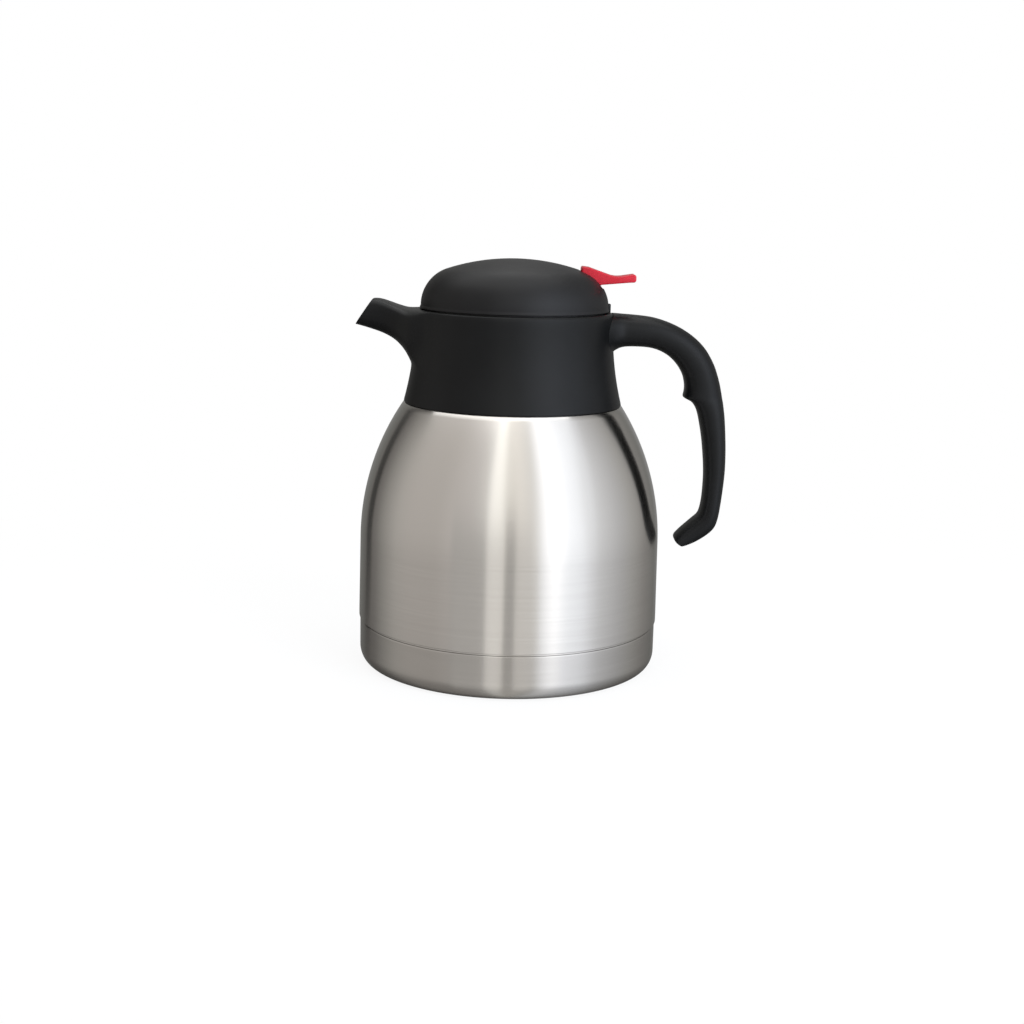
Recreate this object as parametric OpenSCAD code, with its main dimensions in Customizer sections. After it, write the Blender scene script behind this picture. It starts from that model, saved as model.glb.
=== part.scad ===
// Double-walled steel pouring jug with a moulded collar, spout and handle, and a screw-in
// lid whose red thumb lever lifts a sprung valve. Millimetres, +Z up. The origin is the
// centre of the base, the spout points along -X and the handle along +X.

/* [Flask] */
// Radius of the steel body just above the groove
body_r = 72.5; // [70:0.5:75]
// How far the body's side leans in from the groove up to the shoulder
side_lean = 0.4; // [0.2:0.1:1]
// Height at which the shoulder starts to curve in
shoulder_z = 60; // [50:1:70]
// Height of the groove between the body and the base pan
groove_z = 22; // [18:0.5:28]
// How far the base pan's band stands inside the body's radius
band_step = 0.5; // [0.2:0.1:0.8]
// Round at the foot of the base pan
foot_round = 5; // [3:0.5:8]
// Width of the flat ring that the jug stands on
stand_w = 9; // [5:0.5:14]
// Depth of the recess in the middle of the base
recess_h = 3; // [2.5:0.25:4]
// Thickness of the steel sheet
sheet = 0.6; // [0.5:0.05:0.8]
// Gap between the two steel walls
vacuum_gap = 4; // [3:0.25:5]
// Inner radius of the steel mouth
mouth_r = 33; // [32.5:0.25:34]
// How far the steel neck stands outside its mouth
neck_step = 7; // [6.5:0.25:7.5]

/* [Collar] */
// Height of the collar's lower edge
collar_z = 126.4; // [120:0.2:132]
// Height of the collar from its lower edge to its rim
collar_h = 43.6; // [42:0.2:48]
// How far the collar flares out at its lower edge
collar_flare = 5; // [4:0.25:7]
// Wall of the collar at its rim
rim_wall = 2.8; // [2.4:0.1:3.6]
// Height over which the collar flares out to its foot
flare_h = 35; // [28:1:40]
// Wall of the collar at its foot
collar_wall = 2.6; // [2:0.1:3.2]
// Width of the ring that clamps the collar between its bore and the steel neck
clamp_w = 4.2; // [4:0.1:4.6]
// Thickness of the collar's floor
web_t = 3; // [2:0.25:3.5]
// Thickness of the ledge that carries the lid seal
ledge_t = 2; // [1.5:0.1:2.5]
// Width of the ledge
ledge_w = 6.2; // [5.5:0.1:7]

/* [Spout] */
// How far the spout's lower lip reaches from the jug's axis
spout_reach = 75; // [70:0.5:80]
// Half the width of the spout at its lip
spout_half_w = 8.6; // [7:0.2:10]
// Wall of the spout
spout_wall = 2; // [1.5:0.1:2.6]

/* [Handle] */
// How far the handle reaches from the jug's axis
handle_reach = 103; // [98:0.5:110]
// Height of the handle from the collar's rim to its lower tip
handle_drop = 111.5; // [100:0.5:120]
// Half the width of the handle's upper arm
handle_half_w = 11; // [9:0.25:13]
// Half the width of the handle at its lower tip
handle_tip_half_w = 8.8; // [7:0.2:10]
// Radius of a handle screw's shank
screw_r = 1.75; // [1.25:0.25:2]

/* [Lid] */
// How far the dome's lower edge stands inside the collar's rim
dome_inset = 1.7; // [1:0.1:2]
// Height of the dome
dome_h = 23.6; // [22.8:0.2:26]
// Radius of the dome's crown
crown_r = 100; // [90:1:120]
// Radius of the round between the dome's side and its crown
dome_round = 18; // [17:0.5:19]
// Wall of the dome
dome_wall = 2.2; // [1.8:0.1:2.4]
// Gap between the collar's rim and the dome
seam = 0.7; // [0.5:0.1:1.2]
// Room for the thread between the collar's bore and the stopper's drum
thread_room = 2.3; // [2.2:0.05:2.6]
// Rise of the lid's thread in one turn
thread_lead = 24; // [20:1:26]
// Number of thread starts
thread_starts = 3; // [2:1:3]
// Gap between the steel mouth and the stopper's lower wall
stopper_gap = 2.5; // [2:0.25:3.5]
// Wall of the stopper
stopper_wall = 2.2; // [2:0.1:2.8]
// Number of windows in the stopper's wall
windows = 6; // [4:1:8]

/* [Lever and valve] */
// Distance of the lever's pin from the dome's side
pin_inset = 10.6; // [10:0.2:11]
// Radius of the lever's pin
pin_r = 1.25; // [1:0.05:1.5]
// Width of the lever
lever_w = 14; // [13.5:0.25:14.5]
// Travel of the lever in degrees
lever_travel = 10; // [6:0.5:11]
// Radius of the valve stem
stem_r = 3; // [2.6:0.1:3.2]
// Radius of the valve opening in the stopper's floor
seat_r = 17; // [15.5:0.25:18]
// Radius of the valve disc
valve_r = 21; // [20:0.25:23]
// Radius of the valve spring at the middle of its wire
spring_r = 8; // [7.5:0.1:9]
// Diameter of the spring's wire
wire_d = 1.2; // [1:0.1:1.6]
// Number of turns of the valve spring
spring_turns = 7; // [5:1:9]

/* [Hidden] */

STEEL = "silver";
BLACK = "#1f2023";
RED = "#c8202f";
SILICONE = "#8d9094";

skin = 0.05;          // gap between parts that are pressed, clamped or welded together
ease = 0.2;           // gap between parts that go in by hand
run = 0.07;           // radial running clearance on the pin and the stem
cut = 1;              // how far a cutting shape runs past what it cuts
seal_t = 1.5;         // thickness of the flat silicone rings

// Radii, each from the one inside it
side_r = body_r - side_lean;
neck_r = mouth_r + neck_step;
bore_r = neck_r + clamp_w;
step_r = bore_r + 2.2;
collar_r = bore_r + rim_wall;
collar_foot_r = collar_r + collar_flare;
ledge_r = bore_r - ledge_w;
drum_r = bore_r - thread_room;
stopper_r = mouth_r - stopper_gap;
dome_r = collar_r - dome_inset;
dome_side_r = dome_r - 0.7;
pin_x = dome_side_r - pin_inset;

// Heights, each from its neighbours
rim_z = collar_z + collar_h;
web_z = collar_z + 11.6;
ledge_z = rim_z - 10;
seat_ring_z = web_z - web_t - seal_t - 2 * skin;
mouth_z = web_z + 6.2;
ring_cap = 2;
ring_top_z = mouth_z + ease + ring_cap;
drum_z = ledge_z + seal_t + 2 * skin;
plate_z = rim_z + 0.4;
plate_t = 2.8;
floor_t = 2.2;
floor_z = mouth_z - 6;
dome_z = rim_z + seam;

// Valve and lever
valve_seal_z = floor_z + skin;
valve_z = valve_seal_z + seal_t + skin;
valve_t = 2.5;
hub_r = stem_r + 2;
hub_h = 6;
guide_h = 12;
pin_z = plate_z + 8.6;
finger_r = 2;
finger_y = stem_r + 0.6;
finger_w = 2.8;
head_z = pin_z + finger_r + ease;
head_t = 2;
head_r = finger_y + finger_w + 0.6;
slot_gap = 0.5;
ear_gap = 0.6;
ear_t = 3;
ear_r = 3.4;
lever_hub_r = 3.2;
retainer_r = seat_r - 3;
retainer_t = 1.5;
small_screw_r = 1.5;

// Thread ridges: the collar's and, a little below them, the stopper's
ridge_h = 2;
ridge_arc = 45;
thread_from = 20;
arc_step = 5;
thread_play = 0.2;
collar_crest_r = drum_r + 0.4;
stopper_crest_r = bore_r - 0.5;
collar_ridge_z = rim_z - 4.7;
stopper_ridge_z = collar_ridge_z - ridge_h - thread_play;

fine = 96;

function reversed(p) = [for (i = [len(p) - 1:-1:0]) p[i]];
function unit(v) = v / norm(v);
function blend(a, b, t) = a + (b - a) * t;
function arc(c, r, a0, a1, n) = [for (i = [0:n]) let (a = blend(a0, a1, i / n))
    [c[0] + r * cos(a), c[1] + r * sin(a)]];

// Direction that points left of path p at its point i, longer where the path bends
function leftward(p, i) = let (
        here = max(i, 1),
        next = min(i + 1, len(p) - 1),
        a = unit(p[here] - p[here - 1]),
        b = unit(p[next] - p[next - 1]),
        t = unit(a + b))
    [-t[1], t[0]] / max(0.5, t * a);

// Sheet of thickness t on the left of path p
function sheet_outline(p, t) = concat(p, [for (i = [len(p) - 1:-1:0]) p[i] + t * leftward(p, i)]);

// Point at place s along a smooth curve through the rows of list p
function row_at(p, i) = p[max(0, min(len(p) - 1, i))];
function curve_at(p, s) = let (
        i = min(floor(s), len(p) - 2),
        t = s - i,
        a = row_at(p, i - 1), b = p[i], c = p[i + 1], d = row_at(p, i + 2))
    b + t * ((c - a) / 2 + t * ((2 * a - 5 * b + 4 * c - d) / 2 + t * (3 * b - a - 3 * c + d) / 2));
function smoothed(p, per) = [for (k = [0:(len(p) - 1) * per]) curve_at(p, k / per)];

// Rounded-off box section, half sizes w and h, as n points that run anticlockwise
function pillow(w, h, n, square = 2.6) = [for (k = [0:n - 1]) let (a = 360 * (k + 0.5) / n)
    [w * sign(cos(a)) * pow(abs(cos(a)), 2 / square), h * sign(sin(a)) * pow(abs(sin(a)), 2 / square)]];

// Closed skin over rings of points that run anticlockwise, seen along the way they follow
module skin_over(rings) {
    n = len(rings[0]);
    last = len(rings) - 1;
    polyhedron(
        points = [for (r = rings) each r],
        faces = concat(
            [[for (j = [n - 1:-1:0]) j]],
            [for (i = [0:last - 1], j = [0:n - 1]) let (a = i * n + j, b = i * n + (j + 1) % n)
                each [[a, b, a + n], [b, b + n, a + n]]],
            [[for (j = [0:n - 1]) last * n + j]]));
}

module spun(outline) {
    rotate_extrude($fn = fine) polygon(outline);
}

// Ring between two radii, from z0 to z1
module ring(r_in, r_out, z0, z1) {
    spun([[r_in, z0], [r_out, z0], [r_out, z1], [r_in, z1]]);
}

// Plate of width w about the plane y = 0, with its outline drawn in x and z
module slab(w, outline) {
    rotate([90, 0, 0]) linear_extrude(w, center = true) polygon(outline);
}

// Round bar along +X
module bar_x(r, x0, x1) {
    translate([x0, 0, 0]) rotate([0, 90, 0]) cylinder(r = r, h = x1 - x0, $fn = 32);
}

// Round bar along Y, centred on y = 0
module bar_y(r, l) {
    rotate([90, 0, 0]) cylinder(r = r, h = l, center = true, $fn = 48);
}

// The shoulder is one arc from the body's side up to the collar's foot
shell_top_r = collar_foot_r - 0.2;
shoulder_rise = collar_z - shoulder_z;
shoulder_run = side_r - shell_top_r;
shoulder_arc = (pow(shoulder_rise, 2) + pow(shoulder_run, 2)) / (2 * shoulder_run);
function shoulder(inset, z_end, n) = [for (i = [0:n]) let (z = blend(shoulder_z, z_end, i / n))
    [side_r - shoulder_arc + sqrt(pow(shoulder_arc - inset, 2) - pow(z - shoulder_z, 2)), z]];

shell_edge = 0.5;
bead = 0.45;          // rolled bead on the neck, which the mouth ring snaps over
bead_half = 0.9;
bead_z = web_z + 2.9;
edge_tuck = 0.3;
shell_path = concat(
    [[body_r - edge_tuck, groove_z], [body_r, groove_z + 0.5], [body_r, groove_z + 4]],
    shoulder(0, collar_z - shell_edge, 14),
    [[shell_top_r - shell_edge, collar_z - skin], [step_r + 1.8, collar_z - skin],
     [step_r, collar_z + 1.8], [step_r - 0.2, seat_ring_z - 0.8], [step_r - 1, seat_ring_z],
     [neck_r + 0.6, seat_ring_z], [neck_r, seat_ring_z + 0.6],
     [neck_r, bead_z - bead_half], [neck_r + bead, bead_z], [neck_r, bead_z + bead_half],
     [neck_r, mouth_z - 0.8], [neck_r - 0.8, mouth_z], [mouth_r + sheet + skin, mouth_z]]);

module outer_shell() {
    color(STEEL) spun(sheet_outline(shell_path, sheet));
}

// The base pan is pressed into the body; the groove is left between their edges
pan_r = body_r - band_step;
stand_r = pan_r - foot_round;
cap_r = stand_r - stand_w - 3;
lap_r = body_r - edge_tuck - sheet - 2 * skin;
plug_r = 4;
pan_path = concat(
    [[0, recess_h], [cap_r + 0.6, recess_h], [stand_r - stand_w - 1.2, recess_h * 0.6],
     [stand_r - stand_w, 0]],
    arc([stand_r, foot_round], foot_round, -90, 0, 8),
    [[pan_r, groove_z - 1], [pan_r - 0.15, groove_z - 0.6], [lap_r, groove_z - 0.4],
     [lap_r, groove_z + 5]]);

module base_pan() {
    color(STEEL) difference() {
        spun(sheet_outline(pan_path, sheet));
        cylinder(r = small_screw_r + skin, h = recess_h + sheet + cut, $fn = 32);
    }
}

// Disc in the base's recess, hollow over the vacuum plug
cap_z = 0.8;
module base_cap() {
    color(BLACK) difference() {
        spun([[0, cap_z], [cap_r - 0.5, cap_z], [cap_r, cap_z + 0.5], [cap_r, recess_h - skin],
              [0, recess_h - skin]]);
        translate([0, 0, cap_z + 0.9]) cylinder(r = plug_r + 1, h = recess_h, $fn = 48);
    }
}

// Plug that closes the hole through which the space between the walls is pumped out
module vacuum_plug() {
    plug_head = 0.8;
    color(STEEL) union() {
        translate([0, 0, recess_h - skin - plug_head]) cylinder(r = plug_r, h = plug_head, $fn = 48);
        translate([0, 0, recess_h - skin - plug_head / 2])
            cylinder(r = small_screw_r, h = sheet + plug_head, $fn = 32);
    }
}

inner_inset = sheet + vacuum_gap;
inner_floor_z = recess_h + sheet + vacuum_gap;
inner_round = 12;
inner_side_r = side_r - inner_inset;
throat_z = seat_ring_z - 0.6;
cup_path = concat(
    [[0, inner_floor_z]],
    arc([inner_side_r - inner_round, inner_floor_z + inner_round], inner_round, -90, 0, 8),
    [[inner_side_r, shoulder_z - skin]]);
inner_neck_path = concat(
    shoulder(inner_inset, collar_z - 3, 10),
    [[mouth_r + 10, throat_z - 5], [mouth_r + sheet + 2.5, throat_z - 3],
     [mouth_r + sheet, throat_z], [mouth_r + sheet, mouth_z]]);

// The inner flask is drawn as a cup and a neck, welded together where the shoulder starts
module inner_flask() {
    color(STEEL) spun(sheet_outline(cup_path, sheet));
}

module flask_neck() {
    color(STEEL) spun(sheet_outline(inner_neck_path, sheet));
}

// Small pill that takes up what gas is left between the walls
getter_r = 7;
getter_x = 26;
module getter() {
    color(STEEL) translate([getter_x, 0, recess_h + sheet + skin])
        cylinder(r = getter_r, h = 2, $fn = 32);
}

module neck_gasket() {
    color(SILICONE) ring(neck_r + 0.7, step_r - 1.2, seat_ring_z + skin, seat_ring_z + skin + seal_t);
}

// Outside of the collar, from its foot up to its rim
rim_round = 1.2;
function collar_outside(z) = collar_r
    + (collar_foot_r - collar_r) * pow(max(0, (collar_z + flare_h - z) / flare_h), 1.9);
collar_outer = concat(
    [for (i = [0:8]) let (z = blend(collar_z, collar_z + flare_h, i / 8)) [collar_outside(z), z]],
    arc([collar_r - rim_round, rim_z - rim_round], rim_round, 0, 90, 4));

// Stations of the spout, each with its distance beyond the collar, the height of its
// underside and of its top over the rim, and half its width
spout_stretch = (spout_reach - collar_r) / 28;
spout_stations = [
    [-4, -24.5, -1.6, 18], [2, -24.5, -0.3, 17], [4, -20, 0, 15.5], [6.6, -17.1, 0.8, 14],
    [9, -14.9, 1.6, 12.6], [13, -12.6, 3, 11], [18, -10.8, 4.3, 9.7], [23, -9.3, 5, 9],
    [30, -7.5, 5.4, 8.6]
];
inlet_low = ring_top_z + 1 - rim_z;
inlet_high = ledge_z - ledge_t - 0.4 - rim_z;
channel_stations = [
    [-7, inlet_low, inlet_high, 13], [-1, inlet_low + 0.8, inlet_high, 13],
    [4, -19.4 + spout_wall, -9 + spout_wall, 15 - spout_wall],
    [8, -15.2 + spout_wall, 0.8 - spout_wall, 13 - spout_wall],
    [13, -12.2 + spout_wall, 3 - spout_wall, 11 - spout_wall],
    [18, -10.6 + spout_wall, 4.3 - spout_wall, 9.7 - spout_wall],
    [23, -9.1 + spout_wall, 5 - spout_wall, 9 - spout_wall],
    [34, -6.4 + spout_wall, 5.6 - spout_wall, 8.6 - spout_wall]
];
// Half width of the spout that its driving size adds towards the lip
function widened(w, d) = w + (spout_half_w - 8.6) * max(0, min(1, d / 28));
function spout_ring(s, n) = let (x = -collar_r - s[0] * spout_stretch)
    [for (q = pillow(widened(s[3], s[0]), (s[2] - s[1]) / 2, n, 2.3))
        [x, q[0], rim_z + (s[1] + s[2]) / 2 + q[1]]];
module spout_skin(stations) {
    skin_over([for (s = smoothed(stations, 2)) spout_ring(s, 24)]);
}

// Everything beyond the slanted plane of the spout's mouth
lip_z = rim_z - 8;
lip_lean = 34;
module beyond_mouth() {
    translate([-spout_reach, 0, lip_z]) rotate([0, lip_lean, 0])
        translate([-40, 0, 20]) cube([80, 60, 120], center = true);
}

module thread_ridge(root_r, crest_r, z0, turn) {
    steps = ridge_arc / arc_step;
    rings = [for (i = [0:steps]) let (
            a = turn + i * arc_step,
            z = z0 + thread_lead * i * arc_step / 360,
            crest = i == 0 || i == steps ? (root_r + crest_r) / 2 : crest_r,
            section = [[root_r, z - ridge_h / 2], [crest, z - ridge_h * 0.32],
                       [crest, z + ridge_h * 0.32], [root_r, z + ridge_h / 2]])
        [for (q = section) [q[0] * cos(a), q[0] * sin(a), q[1]]]];
    skin_over(crest_r > root_r ? rings : [for (r = rings) reversed(r)]);
}

module thread(root_r, crest_r, z0) {
    for (k = [0:thread_starts - 1])
        thread_ridge(root_r, crest_r, z0, thread_from + 360 * k / thread_starts);
}

// Screws that hold the handle, side by side, their heads sunk in the bore's wall
screw_z = rim_z - 7;
screw_y = 6;
screw_head_r = 2.7;
screw_head_t = 1;
screw_seat_x = bore_r + screw_head_t + 0.2;
module at_screws() {
    for (y = [-screw_y, screw_y]) translate([0, y, screw_z]) children();
}

module collar() {
    color(BLACK) difference() {
        union() {
            difference() {
                union() {
                    spun(concat(collar_outer, [[bore_r - cut, rim_z], [bore_r - cut, collar_z]]));
                    difference() {
                        spout_skin(spout_stations);
                        beyond_mouth();
                    }
                }
                translate([0, 0, web_z]) cylinder(r = bore_r, h = collar_h, $fn = fine);
                translate([0, 0, collar_z - cut])
                    cylinder(r = step_r + 1.2, h = cut + web_z - web_t - collar_z, $fn = fine);
                spun([[step_r, collar_z - cut], [collar_foot_r - collar_wall, collar_z - cut],
                      [collar_foot_r - collar_wall, collar_z + 1], [step_r, collar_z + 7]]);
                spout_skin(channel_stations);
            }
            ring(neck_r + ease, bore_r + 1, web_z - web_t, web_z);
            ring(ledge_r, bore_r + 1, ledge_z - ledge_t, ledge_z);
            thread(bore_r + 0.4, collar_crest_r, collar_ridge_z);
        }
        at_screws() bar_x(screw_r + skin, bore_r - cut, collar_r + cut);
        at_screws() bar_x(screw_head_r + ease, bore_r - cut, screw_seat_x);
    }
}

// Ring that snaps over the bead of the steel neck and holds the collar down
module mouth_ring() {
    in_r = neck_r + ease;
    out_r = bore_r - ease;
    lip_r = mouth_r + 2;
    edge = 0.5;
    color(BLACK) spun([
        [in_r, web_z + skin], [out_r, web_z + skin], [out_r, ring_top_z - edge],
        [out_r - edge, ring_top_z], [lip_r + edge, ring_top_z], [lip_r, ring_top_z - edge],
        [lip_r, mouth_z + ease], [in_r, mouth_z + ease], [in_r, bead_z + bead_half],
        [in_r + bead, bead_z], [in_r, bead_z - bead_half]
    ]);
}

// Stations of the handle: its outer and its inner line, each as the distance beyond the
// collar and the drop below the rim, for a handle that stands out 56 and drops 111.5
handle_stretch = (handle_reach - collar_r) / 56;
handle_scale = handle_drop / 111.5;
handle_stations = [
    [-2, 0.1, -2, 22], [1.8, 0.2, 1.8, 17], [5, 0.4, 5, 15.8], [10, 0.7, 10, 15.5],
    [19, 1.7, 17, 15.8], [28.5, 4.7, 22.5, 17.3], [37, 9.4, 27.5, 20.1], [43.7, 15.5, 31.4, 24],
    [48.3, 23, 33.3, 28.2], [51.1, 30.6, 34.1, 33.5], [52.9, 38.2, 34.8, 37.4],
    [54, 44, 38.3, 42], [54.8, 49, 41.1, 47.6], [55.5, 57, 43.5, 57], [56, 65.3, 44.7, 65.5],
    [56.1, 74, 45.5, 74], [55.7, 81, 45.6, 82], [55, 88.8, 45.2, 90], [54, 96.8, 44.4, 95.6],
    [52.2, 102.3, 41.9, 98.1], [48, 106.3, 38.6, 101.1], [43, 109.4, 35.4, 104.2],
    [38.5, 111.2, 33.1, 107.2], [36.4, 111.3, 33.6, 109.2]
];
root_flare = 2.5;
root_flare_reach = 6;
function handle_point(dx, drop) = [collar_r + dx * handle_stretch,
    rim_z - drop * handle_scale];
function handle_ring(s, last) = let (
        outer = handle_point(s[0], s[1]),
        inner = handle_point(s[2], s[3]),
        mid = (outer + inner) / 2,
        up = unit(outer - inner),
        w = blend(handle_half_w, handle_tip_half_w, s[1] / 111.5)
            + root_flare * pow(max(0, 1 - s[0] / root_flare_reach), 2))
    [for (q = pillow(last ? w * 0.7 : w, norm(outer - inner) / 2, 20))
        [mid[0] + up[0] * q[1], -q[0], mid[1] + up[1] * q[1]]];

module handle() {
    stations = smoothed(handle_stations, 2);
    last = len(stations) - 1;
    color(BLACK) difference() {
        skin_over([for (i = [0:last]) handle_ring(stations[i], i == last)]);
        spun(concat([for (p = collar_outer) p + [skin, 0]], [[collar_r - 6, rim_z + cut],
             [collar_r - 6, collar_z]]));
        at_screws() bar_x(screw_r + skin, collar_r - 4, collar_r + screw_grip + ease);
    }
}

screw_grip = 9;
module handle_screws() {
    head_x = screw_seat_x - skin - screw_head_t;
    color(STEEL) at_screws() union() {
        bar_x(screw_head_r, head_x, head_x + screw_head_t);
        bar_x(screw_r, head_x + screw_head_t / 2, collar_r + screw_grip);
    }
}

// The stopper: a floor with the valve opening, a windowed wall, the threaded drum, and the
// plate with the stem's guide and the ears that carry the lever's pin
drum_wall = 2.2;
drum_floor_t = 2.2;
window_low = ring_top_z + 0.6;
window_high = ledge_z - ledge_t;
window_post = 14;
window_w = 2 * PI * stopper_r / windows - window_post;
seal_groove = 1.2;
mouth_seal_z = floor_z + 1.5;
mouth_seal_t = 3;
dome_ring_r = dome_side_r - dome_wall - skin;
dome_ring_h = 2.4;
ear_y = lever_w / 2 + ear_gap + ear_t / 2;

module ear(y) {
    translate([0, y, 0]) difference() {
        union() {
            translate([pin_x, 0, pin_z]) bar_y(ear_r, ear_t);
            translate([pin_x - ear_r, -ear_t / 2, drum_z + 1])
                cube([2 * ear_r, ear_t, pin_z - drum_z - 1]);
        }
        translate([pin_x, 0, pin_z]) bar_y(pin_r + skin, ear_t + cut);
    }
}

module stopper_body() {
    in_r = stopper_r - stopper_wall;
    color(BLACK) difference() {
        union() {
            ring(seat_r, stopper_r, floor_z - floor_t, floor_z);
            spun([[in_r, floor_z - 0.5], [stopper_r, floor_z - 0.5], [stopper_r, mouth_seal_z],
                  [stopper_r - seal_groove, mouth_seal_z],
                  [stopper_r - seal_groove, mouth_seal_z + mouth_seal_t],
                  [stopper_r, mouth_seal_z + mouth_seal_t], [stopper_r, plate_z], [in_r, plate_z]]);
            ring(in_r + 1, drum_r, drum_z, drum_z + drum_floor_t);
            ring(drum_r - drum_wall, drum_r, drum_z, plate_z);
            ring(dome_ring_r - 2, dome_ring_r, plate_z - 1.5, plate_z + dome_ring_h);
            ring(0, in_r + 1, plate_z - plate_t, plate_z);
            ring(0, hub_r, plate_z - plate_t - guide_h, plate_z - 1);
            ear(ear_y);
            ear(-ear_y);
            thread(drum_r - 0.4, stopper_crest_r, stopper_ridge_z);
        }
        for (k = [0:windows - 1]) rotate(360 * (k + 0.5) / windows)
            translate([in_r - 3, -window_w / 2, window_low])
                cube([stopper_wall + 6, window_w, window_high - window_low]);
        cylinder(r = stem_r + run, h = plate_z + cut, $fn = 64);
        translate([0, 0, plate_z - seal_t]) cylinder(r = hub_r + 1, h = seal_t + cut, $fn = 64);
    }
}

// The dome: a low side that leans in, a round and a shallow crown
crown_c = [0, dome_z + dome_h - crown_r];
round_c = [dome_side_r - dome_round,
    crown_c[1] + sqrt(pow(crown_r - dome_round, 2) - pow(dome_side_r - dome_round, 2))];
crown_lean = asin((dome_side_r - dome_round) / (crown_r - dome_round));
dome_path = concat(
    [[dome_r, dome_z], [dome_r, dome_z + 0.5], [dome_side_r, dome_z + 1.2]],
    arc(round_c, dome_round, 0, 90 - crown_lean, 10),
    [for (i = [1:5]) let (a = crown_lean * (1 - i / 5))
        [crown_r * sin(a), crown_c[1] + crown_r * cos(a)]]);
dome_inner = concat(
    [[dome_side_r - dome_wall, dome_z], [dome_side_r - dome_wall, round_c[1]]],
    arc(round_c, dome_round - dome_wall, 3, 90 - crown_lean, 8),
    [for (i = [1:5]) let (a = crown_lean * (1 - i / 5))
        [(crown_r - dome_wall) * sin(a), crown_c[1] + (crown_r - dome_wall) * cos(a)]]);
slot_x = pin_x - 4.2;
slot_z = pin_z + 1.6;
rib_w = 4;
rib_h = 4;

module lid_dome() {
    slot_w = lever_w + 2 * slot_gap;
    color(BLACK) difference() {
        union() {
            spun(concat(dome_path, reversed(dome_inner)));
            translate([dome_side_r - dome_wall / 2, -rib_w / 2, dome_z - seam + 0.4])
                cube([dome_wall / 2 + 0.8, rib_w, rib_h]);
        }
        translate([slot_x, -slot_w / 2, slot_z]) cube([dome_r, slot_w, dome_h]);
    }
}

module lid_seal() {
    color(SILICONE) ring(ledge_r + 0.4, drum_r - 0.4, ledge_z + skin, ledge_z + skin + seal_t);
}

module mouth_seal() {
    color(SILICONE) spun([
        [stopper_r - seal_groove + skin, mouth_seal_z + skin], [stopper_r + 0.8, mouth_seal_z + skin],
        [mouth_r - ease, mouth_seal_z + 0.9], [mouth_r - ease, mouth_seal_z + mouth_seal_t - 0.9],
        [stopper_r + 0.8, mouth_seal_z + mouth_seal_t - skin],
        [stopper_r - seal_groove + skin, mouth_seal_z + mouth_seal_t - skin]
    ]);
}

module stem_seal() {
    color(SILICONE) ring(stem_r + run, hub_r + 1 - skin, plate_z - seal_t + skin, plate_z);
}

// Side of the lever, in x and z from its pin: the nose stands out of the slot, the top falls
// to a dip for the thumb and the pad ends in a round
nose = [-3, 11.5];
dip = [13.4, 8.1];
pad_end = [21.4, 8.4];
pad_round = 1.5;
lever_side = concat(
    [[-3.2, 0], nose + [-0.2, -1.4], nose + [0.3, 0], nose + [3, -0.2], dip],
    arc(pad_end, pad_round, 100, -80, 6),
    [[14.5, 5.3], [6.5, 4.2], [3.2, 1.5], [3.2, 0]]);

module thumb_lever() {
    color(RED) translate([pin_x, 0, pin_z]) difference() {
        union() {
            slab(lever_w, lever_side);
            bar_y(lever_hub_r, lever_w);
            for (side = [-1, 1]) translate([0, side * (finger_y + finger_w / 2), 0]) {
                translate([-pin_x, 0, 0]) bar_y(finger_r, finger_w);
                translate([-pin_x, -finger_w / 2, -1.6]) cube([pin_x, finger_w, 3.2]);
            }
        }
        bar_y(pin_r + run, lever_w + cut);
    }
}

module lever_pin() {
    color(STEEL) translate([pin_x, 0, pin_z]) bar_y(pin_r, 2 * ear_y + ear_t);
}

// One wire from the valve disc up to the plate
spring_low = valve_z + valve_t + skin + wire_d / 2;
spring_high = plate_z - plate_t - skin - wire_d / 2;
ring_steps = 12;
spring_line = [for (k = [0:spring_turns * ring_steps]) let (
        a = 360 * k / ring_steps,
        z = blend(spring_low, spring_high, k / (spring_turns * ring_steps)))
    [spring_r * cos(a), spring_r * sin(a), z]];
echo(least_gap_of_spring = min([for (k = [0:len(spring_line) - ring_steps - 1])
    norm(spring_line[k + ring_steps] - spring_line[k])]) - wire_d);

module valve_spring() {
    color(STEEL) skin_over([for (p = spring_line) let (out = unit([p[0], p[1], 0]))
        [for (j = [0:5]) p + wire_d / 2 * (cos(60 * j) * out + sin(60 * j) * [0, 0, 1])]]);
}

// Stem with the head that the lever's fork lifts; its foot stands in the valve disc
stem_foot_z = valve_z + valve_t;
module valve_stem() {
    color(BLACK) difference() {
        union() {
            translate([0, 0, stem_foot_z + skin])
                cylinder(r = stem_r, h = head_z + head_t / 2 - stem_foot_z - skin, $fn = 64);
            spun([[0, head_z], [head_r, head_z], [head_r, head_z + head_t - 0.6],
                  [head_r - 0.6, head_z + head_t], [0, head_z + head_t]]);
        }
        cylinder(r = small_screw_r + skin, h = stem_foot_z + hub_h, $fn = 32);
    }
}

module valve_disc() {
    color(BLACK) difference() {
        union() {
            translate([0, 0, valve_z]) cylinder(r = valve_r, h = valve_t, $fn = fine);
            translate([0, 0, valve_z + valve_t / 2]) cylinder(r = hub_r, h = valve_t / 2 + hub_h, $fn = 64);
        }
        translate([0, 0, stem_foot_z]) cylinder(r = stem_r + skin, h = hub_h + cut, $fn = 64);
        cylinder(r = small_screw_r + skin, h = stem_foot_z + cut, $fn = 32);
    }
}

module valve_seal() {
    color(SILICONE) ring(small_screw_r + 0.5, valve_r - 0.5, valve_seal_z, valve_seal_z + seal_t);
}

module seal_retainer() {
    color(STEEL) ring(small_screw_r + skin, retainer_r, valve_seal_z - skin - retainer_t,
        valve_seal_z - skin);
}

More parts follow.
